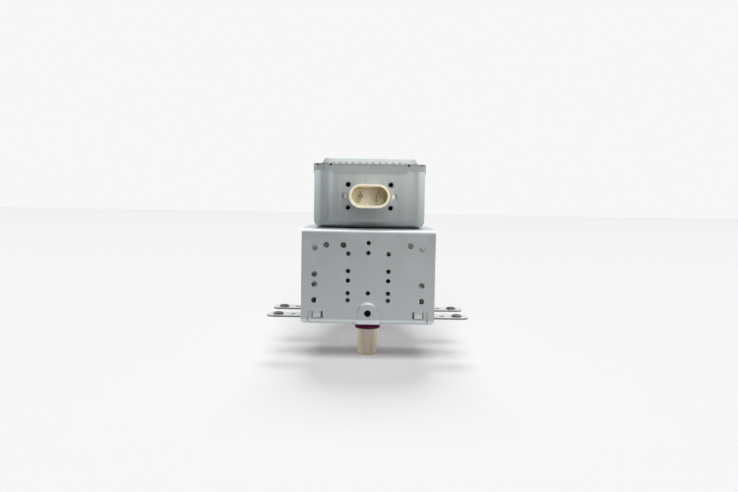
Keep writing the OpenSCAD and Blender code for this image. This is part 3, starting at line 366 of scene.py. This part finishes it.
def zinc_sheet(name, tone, rough, edge_and_shade_tone=1.0, highlight_top=None, shade_half_width=None):
    """Electro-galvanised steel sheet, cold rolled, punched and then bent.

    Plating scatters part of the light; upright faces can show darker, partly as the bare
    steel of sheared edges and partly as painted shade. With a highlight height, the sheet
    has a painted highlight below it, and painted shade, darkest low down, on the faces that
    look inwards.
    With a half width, it has painted shade within it, where the yoke stands over it.
    """
    material, tree, place = open_material(name)
    # soft clouds where the plating is thicker, about 14 mm across
    clouds = add(
        tree,
        "ShaderNodeTexNoise",
        {"Vector": place, "Scale": per_mm(14), "Detail": 3.0, "Roughness": 0.5},
    ).outputs["Fac"]
    # rolling lines 0.5 mm apart and some 20 mm long
    stretched = add(
        tree,
        "ShaderNodeMapping",
        {"Vector": place, "Scale": (per_mm(20), per_mm(0.5), per_mm(0.5))},
    ).outputs["Vector"]
    lines = add(
        tree, "ShaderNodeTexNoise", {"Vector": stretched, "Scale": 1.0, "Detail": 2.0}
    ).outputs["Fac"]
    # rare handling scratches, 0.5 mm wide so that they show at all
    turned = add(
        tree,
        "ShaderNodeMapping",
        {
            "Vector": place,
            "Rotation": (0.0, math.radians(38), math.radians(20)),
            "Scale": (per_mm(16), per_mm(0.5), per_mm(0.5)),
        },
    ).outputs["Vector"]
    marks = add(
        tree, "ShaderNodeTexNoise", {"Vector": turned, "Scale": 1.0, "Detail": 1.0}
    ).outputs["Fac"]
    scratch = ramp(tree, marks, (0.71, 0.76), (0.0, 0.35))
    mottled = blend(tree, clouds, shade(tone, 0.93), shade(tone, 1.06))
    colour = blend(tree, scratch, mottled, shade(tone, 1.3))
    spot = split(tree, place)
    facing = split(tree, add(tree, "ShaderNodeNewGeometry").outputs["Normal"])
    if edge_and_shade_tone < 1.0:
        # bare steel of sheared edges, and painted shade, on upright faces
        flat = calculate(tree, "ABSOLUTE", facing["Z"])
        sheared_and_shaded = ramp(tree, flat, (0.2, 0.6), (1.0, 0.0))
        colour = blend(tree, sheared_and_shaded, colour, shade(tone, edge_and_shade_tone))
    if highlight_top is not None:
        # painted highlight: a bright foot with a soft upper edge
        span = (highlight_top - 0.2 * MM, highlight_top + 0.2 * MM)
        foot_highlight = ramp(tree, spot["Z"], span, (1.0, 0.0))
        colour = blend(tree, foot_highlight, colour, shade(tone, 1.45))
        # painted shade on the faces towards the magnets, darkest low down
        inward = calculate(tree, "MULTIPLY", spot["Y"], facing["Y"])
        painted_shade = ramp(tree, inward, INWARD_SPAN, (1.0, 0.0))
        level = ramp(tree, spot["Z"], INSIDE_SHADE_SPAN, (0.3, 1.3))
        inside = scaled(tree, shade(tone, 1.0)[:3], level)
        colour = blend(tree, painted_shade, colour, inside)
    if shade_half_width is not None:
        # painted shade where the yoke stands over the sheet
        aside = calculate(tree, "ABSOLUTE", spot["X"])
        span = (shade_half_width - 1.0 * MM, shade_half_width + 1.0 * MM)
        painted_shade = ramp(tree, aside, span, (1.0, 0.0))
        colour = blend(tree, painted_shade, colour, shade(tone, 0.4))
    roughness = ramp(tree, clouds, (0.3, 0.7), (rough - 0.05, rough + 0.05))
    normal = add(
        tree,
        "ShaderNodeBump",
        {"Height": lines, "Strength": 0.35, "Distance": 0.02 * MM},
    ).outputs["Normal"]
    close_material(tree, colour, roughness, normal, Metallic=0.75)
    return material


def drawn_sheet(name, tone, streak_mm, rough, height_shade):
    """Plated steel drawn deep in a press: streaks that run the way the punch went.

    Brightness is painted by height, as painted light and shade: height_shade gives a height,
    a reach, and the brightness at that height and beyond the reach.
    """
    material, tree, place = open_material(name)
    clouds = add(
        tree,
        "ShaderNodeTexNoise",
        {"Vector": place, "Scale": per_mm(11), "Detail": 3.0, "Roughness": 0.5},
    ).outputs["Fac"]
    stretched = add(
        tree,
        "ShaderNodeMapping",
        {
            "Vector": place,
            "Scale": (per_mm(streak_mm), per_mm(streak_mm), per_mm(70)),
        },
    ).outputs["Vector"]
    streaks = add(
        tree,
        "ShaderNodeTexNoise",
        {"Vector": stretched, "Scale": 1.0, "Detail": 1.0, "Roughness": 0.5},
    ).outputs["Fac"]
    streaked = blend(tree, streaks, shade(tone, 0.76), shade(tone, 1.2))
    colour = blend(tree, clouds, streaked, shade(tone, 1.0))
    # painted light and shade: brightness set by the distance from a height
    start, reach, near, far = height_shade
    away = calculate(tree, "SUBTRACT", split(tree, place)["Z"], start)
    away = calculate(tree, "ABSOLUTE", away)
    level = ramp(tree, away, (0.0, reach), (near, far))
    colour = scaled(tree, colour, level)
    roughness = ramp(tree, streaks, (0.3, 0.7), (rough - 0.06, rough + 0.06))
    normal = add(
        tree,
        "ShaderNodeBump",
        {"Height": streaks, "Strength": 0.2, "Distance": 0.03 * MM},
    ).outputs["Normal"]
    close_material(tree, colour, roughness, normal, Metallic=0.75)
    return material


def moulded_resin(name, tone):
    """Glass-filled moulded resin: faint flow marks and a fine spark-eroded skin."""
    material, tree, place = open_material(name)
    flow = add(
        tree,
        "ShaderNodeTexNoise",
        {"Vector": place, "Scale": per_mm(5), "Detail": 3.0, "Distortion": 0.6},
    ).outputs["Fac"]
    skin = add(
        tree,
        "ShaderNodeTexNoise",
        {"Vector": place, "Scale": per_mm(0.35), "Detail": 2.0},
    ).outputs["Fac"]
    colour = blend(tree, flow, shade(tone, 0.94), shade(tone, 1.04))
    roughness = ramp(tree, flow, (0.3, 0.7), (0.42, 0.54))
    normal = add(
        tree,
        "ShaderNodeBump",
        {"Height": skin, "Strength": 0.25, "Distance": 0.03 * MM},
    ).outputs["Normal"]
    close_material(
        tree,
        colour,
        roughness,
        normal,
        IOR=1.57,
        Subsurface_Weight=0.4,
        Subsurface_Radius=(1.0, 0.8, 0.5),
        Subsurface_Scale=3.0 * MM,
    )
    return material


def fired_ceramic(name, tone, grain_mm, rough, ior, gloss=0.5):
    """Pressed and fired ceramic: a matt skin with fine grains of lighter and darker tone."""
    material, tree, place = open_material(name)
    patches = add(
        tree,
        "ShaderNodeTexNoise",
        {"Vector": place, "Scale": per_mm(4), "Detail": 3.0},
    ).outputs["Fac"]
    grains = add(
        tree,
        "ShaderNodeTexVoronoi",
        {"Vector": place, "Scale": per_mm(grain_mm)},
    ).outputs["Distance"]
    toned = blend(tree, patches, shade(tone, 0.88), shade(tone, 1.1))
    speck = ramp(tree, grains, (0.0, 0.5), (0.3, 0.0))
    colour = blend(tree, speck, toned, shade(tone, 1.35))
    roughness = ramp(tree, patches, (0.3, 0.7), (rough - 0.06, rough + 0.06))
    normal = add(
        tree,
        "ShaderNodeBump",
        {"Height": grains, "Strength": 0.3, "Distance": 0.03 * MM},
    ).outputs["Normal"]
    close_material(
        tree, colour, roughness, normal, IOR=ior, Specular_IOR_Level=gloss
    )
    return material


def worked_metal(
    name,
    tone,
    rough,
    line_mm,
    along=2,
    depth_mm=0.02,
    contrast=0.08,
    turned=0.0,
    metallic=1.0,
):
    """Plain drawn, turned or rolled metal: fine lines along one axis, slightly uneven shine.

    A turned skin's grooves go round the z axis, so it smears what it mirrors upwards.
    """
    material, tree, place = open_material(name)
    scale = [per_mm(line_mm)] * 3
    scale[along] = per_mm(line_mm * 40)
    stretched = add(
        tree, "ShaderNodeMapping", {"Vector": place, "Scale": scale}
    ).outputs["Vector"]
    lines = add(
        tree,
        "ShaderNodeTexNoise",
        {"Vector": stretched, "Scale": 1.0, "Detail": 3.0, "Roughness": 0.6},
    ).outputs["Fac"]
    clouds = add(
        tree,
        "ShaderNodeTexNoise",
        {"Vector": place, "Scale": per_mm(6), "Detail": 2.0},
    ).outputs["Fac"]
    colour = blend(tree, lines, shade(tone, 1.0 - contrast), shade(tone, 1.0 + contrast))
    roughness = ramp(tree, clouds, (0.3, 0.7), (rough - 0.05, rough + 0.05))
    normal = add(
        tree,
        "ShaderNodeBump",
        {"Height": lines, "Strength": 0.3, "Distance": depth_mm * MM},
    ).outputs["Normal"]
    sockets = {}
    if turned:
        around = add(tree, "ShaderNodeTangent", direction_type="RADIAL", axis="Z")
        sockets = {
            "Tangent": around.outputs[0],
            "Anisotropic": turned,
            "Anisotropic Rotation": 0.25,
        }
    close_material(tree, colour, roughness, normal, Metallic=metallic, **sockets)
    return material


# --- surfaces -------------------------------------------------------------


def grid_piece(name, points, closed_u, closed_v, material):
    """Mesh of a surface given as an array of points over two parameters u and v.

    Point (i, j) joins (i+1, j), (i+1, j+1) and (i, j+1) as one quad; a closed parameter
    wraps from its last row to its first.
    """
    nu, nv = points.shape[:2]
    i, j = np.meshgrid(
        np.arange(nu if closed_u else nu - 1),
        np.arange(nv if closed_v else nv - 1),
        indexing="ij",
    )
    quads = np.stack(
        [
            i * nv + j,
            (i + 1) % nu * nv + j,
            (i + 1) % nu * nv + (j + 1) % nv,
            i * nv + (j + 1) % nv,
        ],
        -1,
    ).reshape(-1, 4)
    mesh = bpy.data.meshes.new(name)
    mesh.from_pydata(points.reshape(-1, 3).tolist(), [], quads.tolist())
    mesh.polygons.foreach_set("use_smooth", np.ones(len(quads), bool))
    mesh.materials.append(material)
    piece = bpy.data.objects.new(name, mesh)
    bpy.context.scene.collection.objects.link(piece)
    return piece


def ring_section(angle, half_w, half_h):
    """Point of a squarish oval.

    Cosine and sine of the angle, each to the power 0.7 and with its sign, times the half
    sizes.
    """
    c, s = np.cos(angle), np.sin(angle)
    return (
        half_w * np.sign(c) * np.abs(c) ** 0.7,
        half_h * np.sign(s) * np.abs(s) ** 0.7,
    )


def ring_surface(name, radius, height, half_w, half_h, material):
    """Closed ring: the squarish oval carried round the z axis."""
    u = np.linspace(0, 2 * math.pi, 96, endpoint=False)[:, None]
    v = np.linspace(0, 2 * math.pi, 32, endpoint=False)[None, :]
    out, up = ring_section(v, half_w, half_h)
    points = np.stack(
        [
            (radius + out) * np.cos(u),
            (radius + out) * np.sin(u),
            height + up + 0 * u,
        ],
        -1,
    )
    return grid_piece(name, points, True, True, material)


def ring_wire(name, radius, height, half_w, half_h, turns, laps, wire, hand, material):
    """Wire wound round a ring: a square profile carried along a closed coil.

    The coil goes round the squarish oval turns times while it goes laps times round the
    z axis. Each profile stands across the path, on the path's tangent.
    """
    t = np.linspace(0, 2 * math.pi, turns * 16, endpoint=False)
    out, up = ring_section(hand * turns * t, half_w, half_h)
    path = np.stack(
        [
            (radius + out) * np.cos(laps * t),
            (radius + out) * np.sin(laps * t),
            height + up,
        ],
        -1,
    )
    tangent = np.roll(path, -1, 0) - np.roll(path, 1, 0)
    tangent /= np.linalg.norm(tangent, axis=1, keepdims=True)
    middle = np.stack(
        [radius * np.cos(laps * t), radius * np.sin(laps * t), height + 0 * t], -1
    )
    side = np.cross(tangent, path - middle)
    side /= np.linalg.norm(side, axis=1, keepdims=True)
    over = np.cross(side, tangent)
    a = np.linspace(0, 2 * math.pi, 4, endpoint=False)[None, :, None]
    points = path[:, None] + wire * (
        np.cos(a) * over[:, None] + np.sin(a) * side[:, None]
    )
    return grid_piece(name, points, True, True, material)


# --- lamps ----------------------------------------------------------------


def area_lamp(name, turn, lean, away, size, power, lit):
    """Lamp that faces the origin and lights the objects of one collection.

    It stands away from the origin, lean off the z axis towards the camera and turn round
    that axis to the right.
    """
    lamp = bpy.data.lights.new(name, "AREA")
    lamp.shape = "RECTANGLE"
    lamp.size, lamp.size_y = size
    lamp.energy = power
    holder = bpy.data.objects.new(name, lamp)
    toward = Vector(
        (
            math.sin(lean) * math.sin(turn),
            -math.sin(lean) * math.cos(turn),
            math.cos(lean),
        )
    )
    holder.location = away * toward
    holder.rotation_euler = toward.to_track_quat("Z", "Y").to_euler()
    holder.visible_camera = False
    holder.light_linking.receiver_collection = lit
    bpy.context.scene.collection.objects.link(holder)
    return holder


# --- operators ------------------------------------------------------------


class MAGNETRON_OT_yoke(bpy.types.Operator):
    """Plates the yoke, the flange plate and the rivets"""

    bl_idname = "magnetron.yoke"
    bl_label = "Yoke and flange"

    def execute(self, context):
        finish = context.scene.magnetron_finish
        low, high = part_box("yoke_frame")
        # painted highlight on the yoke's foot and painted shade inside its legs
        dress(
            zinc_sheet("galvanised_yoke", finish.zinc, 0.38, highlight_top=low.z + FOOT_HIGHLIGHT_BAND),
            "yoke_frame",
        )
        # the flange takes painted shade within the yoke's half width, and its upright faces
        # are darker, partly as painted shade
        dress(
            zinc_sheet("galvanised_flange", finish.flange, 0.38, 0.36, shade_half_width=high.x),
            "flange_plate",
        )
        dress(worked_metal("plated_rivet", finish.zinc, 0.35, 0.3), "box_rivets")
        return {"FINISHED"}


class MAGNETRON_OT_filter_box(bpy.types.Operator):
    """Plates the drawn filter box and its lid"""

    bl_idname = "magnetron.filter_box"
    bl_label = "Filter box and lid"

    def execute(self, context):
        finish = context.scene.magnetron_finish
        low, high = (corner.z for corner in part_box("filter_box"))
        # painted light and shade: the box is brighter towards its rim, the lid away from its
        # crimp
        wall = (low, high - low, 0.74, 1.55)
        crimp = (high + 0.4 * MM, 1.8 * MM, 0.95, 1.35)
        dress(drawn_sheet("drawn_box_steel", finish.box, 3.0, 0.42, wall), "filter_box")
        dress(drawn_sheet("crimped_lid_steel", finish.lid, 4.0, 0.55, crimp), "filter_lid")
        dress(
            worked_metal("plated_capacitor_sheet", finish.zinc, 0.35, 0.4),
            "capacitor_plate",
        )
        return {"FINISHED"}


class MAGNETRON_OT_socket(bpy.types.Operator):
    """Finishes the moulded socket and its blades"""

    bl_idname = "magnetron.socket"
    bl_label = "Plug socket"

    def execute(self, context):
        finish = context.scene.magnetron_finish
        dress(moulded_resin("cream_polyester", finish.resin), "connector_shroud")
        dress(
            worked_metal("tinned_brass", finish.tin, 0.42, 0.25, 1),
            "terminal_left",
            "terminal_right",
        )
        return {"FINISHED"}


class MAGNETRON_OT_filter_parts(bpy.types.Operator):
    """Finishes the capacitor and the two chokes inside the box"""

    bl_idname = "magnetron.filter_parts"
    bl_label = "Capacitor and chokes"

    def execute(self, context):
        finish = context.scene.magnetron_finish
        dress(
            fired_ceramic("titanate_ceramic", finish.white, 0.4, 0.5, 2.0),
            "capacitor_ceramic",
        )
        dress(moulded_resin("brown_epoxy", finish.brown), "capacitor_case")
        dress(
            worked_metal("enamelled_copper_wire", finish.enamel, 0.22, 0.4),
            "choke_coil_left",
            "choke_coil_right",
        )
        dress(
            fired_ceramic("pressed_ferrite_rod", finish.ferrite, 0.3, 0.6, 2.2),
            "choke_core_left",
            "choke_core_right",
        )
        return {"FINISHED"}


class MAGNETRON_OT_magnets(bpy.types.Operator):
    """Finishes the two ring magnets"""

    bl_idname = "magnetron.magnets"
    bl_label = "Magnets"

    def execute(self, context):
        finish = context.scene.magnetron_finish
        dress(
            fired_ceramic("sintered_ferrite", finish.ferrite, 0.5, 0.62, 2.2),
            "upper_magnet",
            "lower_magnet",
        )
        return {"FINISHED"}


class MAGNETRON_OT_anode(bpy.types.Operator):
    """Finishes the copper anode and the iron pole pieces"""

    bl_idname = "magnetron.anode"
    bl_label = "Anode"

    def execute(self, context):
        finish = context.scene.magnetron_finish
        copper = worked_metal("oxygen_free_copper", finish.copper, 0.3, 0.3)
        # painted shade: the anode is given a dark brown for the shade inside the yoke
        dress(worked_metal("anode_painted_shade", finish.anode_shade, 0.5, 0.3), "anode_shell")
        dress(copper, *numbered("vane", 10))
        dress(
            copper,
            *[
                f"strap_{end}_{ring}"
                for end in ("upper", "lower")
                for ring in ("inner", "outer")
            ],
        )
        dress(
            worked_metal("soft_iron", finish.iron, 0.42, 0.4),
            "pole_piece_upper",
            "pole_piece_lower",
        )
        return {"FINISHED"}


class MAGNETRON_OT_cathode(bpy.types.Operator):
    """Finishes the filament, its supports and the tube's upper end"""

    bl_idname = "magnetron.cathode"
    bl_label = "Cathode and stem"

    def execute(self, context):
        finish = context.scene.magnetron_finish
        dress(
            worked_metal("carburised_tungsten", finish.tungsten, 0.5, 0.2),
            "filament",
            "end_hat_upper",
            "end_hat_lower",
            "centre_lead",
            "side_lead",
        )
        dress(
            fired_ceramic("white_alumina", finish.white, 0.35, 0.45, 1.76),
            "stem_ceramic",
        )
        dress(
            worked_metal("nickel_iron_seal", finish.alloy, 0.33, 0.3),
            "cathode_seal",
            "stem_terminal_left",
            "stem_terminal_right",
        )
        return {"FINISHED"}


class MAGNETRON_OT_output(bpy.types.Operator):
    """Finishes the antenna, its insulator and its cap"""

    bl_idname = "magnetron.output"
    bl_label = "Output and antenna"

    def execute(self, context):
        finish = context.scene.magnetron_finish
        dress(
            fired_ceramic("purple_alumina", finish.alumina, 0.35, 0.6, 1.76, 0.15),
            "output_ceramic",
        )
        dress(
            worked_metal("turned_nickel_steel", finish.cap, 0.4, 0.4, turned=0.95),
            "antenna_cap",
        )
        dress(
            worked_metal("brazed_seal_alloy", finish.alloy, 0.33, 0.3),
            "output_seal",
            "exhaust_seal",
        )
        dress(
            worked_metal("pinched_copper", finish.copper, 0.3, 0.3),
            "antenna_lead",
            "exhaust_tube",
        )
        return {"FINISHED"}


class MAGNETRON_OT_fins(bpy.types.Operator):
    """Finishes the cooling fins"""

    bl_idname = "magnetron.fins"
    bl_label = "Cooling fins"

    def execute(self, context):
        finish = context.scene.magnetron_finish
        # the fins' grey is darker than bare aluminium: painted shade for the inside of the
        # yoke
        dress(
            worked_metal(
                "rolled_aluminium", finish.fins, 0.45, 0.5, 0, contrast=0.05, metallic=0.4
            ),
            *[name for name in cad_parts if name.startswith("fin_")],
        )
        return {"FINISHED"}


class MAGNETRON_OT_gasket(bpy.types.Operator):
    """Knits the wire ring round the output in place of its plain solid"""

    bl_idname = "magnetron.gasket"
    bl_label = "Wire gasket"

    def execute(self, context):
        finish = context.scene.magnetron_finish
        sizes = context.scene.magnetron_gasket
        low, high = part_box("gasket")
        outer = high.x
        inner = outer - GASKET_WIDTH
        radius, half_w = (outer + inner) / 2, (outer - inner) / 2
        height, half_h = (low.z + high.z) / 2, (high.z - low.z) / 2
        steel = worked_metal("knitted_steel_wire", finish.mesh, 0.35, 0.5)
        core = ring_surface(
            "gasket_core",
            radius,
            height,
            half_w - sizes.sink,
            half_h - sizes.sink,
            # painted shadow: the wire deep in the ring is coloured at 0.35 of the wire's
            # tone
            worked_metal("core_wire_painted_shadow", shade(finish.mesh, 0.35)[:3], 0.6, 0.3),
        )
        wires = [
            ring_wire(
                f"gasket_wire_{name}",
                radius,
                height,
                half_w - sizes.wire,
                half_h - sizes.wire,
                turns,
                laps,
                sizes.wire / 2,
                hand,
                steel,
            )
            for name, turns, laps, hand in (("right", 241, 6, 1), ("left", 239, 6, -1))
        ]
        for piece in (core, *wires):
            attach(piece, "root")
            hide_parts("gasket")
        return {"FINISHED"}


class MAGNETRON_OT_stage(bpy.types.Operator):
    """Sets the floor, the card, the lights and the camera"""

    bl_idname = "magnetron.stage"
    bl_label = "Stage"

    def execute(self, context):
        scene = context.scene
        stage = scene.magnetron_stage
        scene.view_settings.view_transform = "Standard"
        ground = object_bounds()[0].z

        paper, tree, place = open_material("white_paper")
        fibres = add(
            tree, "ShaderNodeTexNoise", {"Vector": place, "Scale": per_mm(1.2)}
        ).outputs["Fac"]
        colour = blend(tree, fibres, shade(stage.floor, 0.995), shade(stage.floor, 1.005))
        # the underside is clear, so that the object shows from below
        above = add(tree, "ShaderNodeBsdfDiffuse", {"Color": colour}).outputs[0]
        below = add(tree, "ShaderNodeBsdfTransparent").outputs[0]
        under = add(tree, "ShaderNodeNewGeometry").outputs["Backfacing"]
        sheet = add(tree, "ShaderNodeMixShader", {0: under, 1: above, 2: below})
        add(tree, "ShaderNodeOutputMaterial", {"Surface": sheet.outputs[0]})
        reach = stage.floor_reach
        u = np.linspace(-reach, reach, 3)
        x, y = np.meshgrid(u, u, indexing="ij")
        floor = grid_piece(
            "floor", np.stack([x, y, 0 * x + ground], -1), False, False, paper
        )

        # a curved grey card behind the camera, seen only as the reflection that
        # gives the metal its tone; palest right of the middle, with a dark gap left of it
        grey_card, tree, place = open_material("grey_card")
        spot = split(tree, place)
        along = ramp(tree, spot["X"], (-stage.card_far, stage.card_far), (0.0, 1.0))
        profile = add(tree, "ShaderNodeValToRGB", {"Fac": along})
        stops = profile.color_ramp.elements
        # a new ramp has its two ends, so only the stops between them are added
        for point in CARD_PROFILE[1:-1]:
            stops.new(point[0])
        for stop, point in zip(stops, CARD_PROFILE):
            stop.color = shade(Vector(stage.card) * Vector(point[1]), point[2])
        fade = ramp(tree, spot["Z"], CARD_RISE, CARD_LEVELS)
        glow = add(
            tree, "ShaderNodeEmission", {"Color": profile.outputs[0], "Strength": fade}
        )
        add(tree, "ShaderNodeOutputMaterial", {"Surface": glow.outputs[0]})
        turn = np.radians(np.linspace(-CARD_TURN, CARD_TURN, CARD_POINTS))[:, None]
        rise = np.linspace(0.0, stage.card_high, 3)[None, :]
        card = grid_piece(
            "card",
            np.stack(
                [
                    stage.card_far * np.sin(turn) + 0 * rise,
                    -stage.card_far * np.cos(turn) + 0 * rise,
                    ground + rise + 0 * turn,
                ],
                -1,
            ),
            False,
            False,
            grey_card,
        )
        card.visible_camera = card.visible_diffuse = card.visible_shadow = False
        floor.visible_diffuse = False
        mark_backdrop(floor, card)

        # white room for what is seen and mirrored, and a dimmer one as fill light
        world = bpy.data.worlds.new("white_room")
        world.use_nodes = True
        tree = world.node_tree
        tree.nodes.clear()
        path = add(tree, "ShaderNodeLightPath").outputs
        seen = calculate(tree, "MAXIMUM", path["Is Camera Ray"], path["Is Glossy Ray"])
        seen = calculate(tree, "MAXIMUM", seen, path["Is Transmission Ray"])
        strength = ramp(tree, seen, (0.0, 1.0), (stage.fill, stage.room))
        room = add(
            tree,
            "ShaderNodeBackground",
            {"Color": (1.0, 1.0, 1.0, 1.0), "Strength": strength},
        )
        add(tree, "ShaderNodeOutputWorld", {"Surface": room.outputs[0]})
        scene.world = world

        # strips over and behind the object and a soft box over the camera, which metal
        # doesn't mirror, light only the object; two lamps, one in front and one behind,
        # light only the floor and make the shadow under the object soft
        only_floor = bpy.data.collections.new("floor_light")
        only_floor.objects.link(floor)
        not_floor = bpy.data.collections.new("object_light")
        not_floor.objects.link(floor)
        not_floor.collection_objects[0].light_linking.link_state = "EXCLUDE"
        strip = (stage.strip_length, stage.strip_width)
        panel = (stage.floor_length, stage.floor_width)
        for name, lean, size, power, lit in (
            ("back_strip", stage.back_lean, strip, stage.back_power, not_floor),
            ("rear_strip", stage.rear_lean, strip, stage.rear_power, not_floor),
            ("top_strip", stage.top_lean, strip, stage.top_power, not_floor),
            ("floor_front", stage.front_lean, panel, stage.front_power, only_floor),
            ("floor_behind", stage.behind_lean, panel, stage.behind_power, only_floor),
        ):
            area_lamp(name, 0.0, lean, stage.lamp_far, size, power, lit)
        soft_box = area_lamp(
            "soft_box",
            stage.box_turn,
            stage.box_lean,
            stage.box_far,
            (stage.box_size, stage.box_size),
            stage.box_power,
            not_floor,
        )
        soft_box.data.color = stage.box_tint
        soft_box.visible_glossy = False

        lens = bpy.data.cameras.new("camera")
        lens.lens = stage.lens
        lens.sensor_width = 36.0
        lens.clip_start, lens.clip_end = 0.01, 100.0
        camera = bpy.data.objects.new("camera", lens)
        tilt, roll = stage.camera_down, stage.camera_roll
        right = Vector((1.0, 0.0, 0.0))
        up = Vector((0.0, math.sin(tilt), math.cos(tilt)))
        ahead = Vector((0.0, math.cos(tilt), -math.sin(tilt)))
        rolled = (
            right * math.cos(roll) + up * math.sin(roll),
            up * math.cos(roll) - right * math.sin(roll),
            -ahead,
        )
        camera.matrix_world = Matrix.Translation(stage.camera_at) @ Matrix(
            rolled
        ).transposed().to_4x4()
        scene.collection.objects.link(camera)
        scene.camera = camera
        return {"FINISHED"}


OPERATORS = (
    MAGNETRON_OT_stage,
    MAGNETRON_OT_yoke,
    MAGNETRON_OT_filter_box,
    MAGNETRON_OT_socket,
    MAGNETRON_OT_filter_parts,
    MAGNETRON_OT_magnets,
    MAGNETRON_OT_anode,
    MAGNETRON_OT_cathode,
    MAGNETRON_OT_output,
    MAGNETRON_OT_fins,
    MAGNETRON_OT_gasket,
)


class MAGNETRON_PT_sidebar(bpy.types.Panel):
    """Lists what the add-on makes"""

    bl_idname = "MAGNETRON_PT_sidebar"
    bl_label = "Magnetron"
    bl_space_type = "VIEW_3D"
    bl_region_type = "UI"
    bl_category = "Magnetron"

    def draw(self, context):
        for group in GROUPS:
            values = getattr(context.scene, group)
            for key in values.__annotations__:
                self.layout.prop(values, key)
        for operator in OPERATORS:
            self.layout.operator(operator.bl_idname)


GROUPS = {
    "magnetron_finish": MagnetronFinish,
    "magnetron_gasket": MagnetronGasket,
    "magnetron_stage": MagnetronStage,
}


def register():
    for cls in (*GROUPS.values(), *OPERATORS, MAGNETRON_PT_sidebar):
        bpy.utils.register_class(cls)
    for name, group in GROUPS.items():
        setattr(bpy.types.Scene, name, PointerProperty(type=group))


def unregister():
    for name in GROUPS:
        delattr(bpy.types.Scene, name)
    for cls in (*GROUPS.values(), *OPERATORS, MAGNETRON_PT_sidebar):
        bpy.utils.unregister_class(cls)


def main():
    register()
    for operator in OPERATORS:
        group, name = operator.bl_idname.split(".")
        getattr(getattr(bpy.ops, group), name)()


if __name__ == "__main__":
    main()
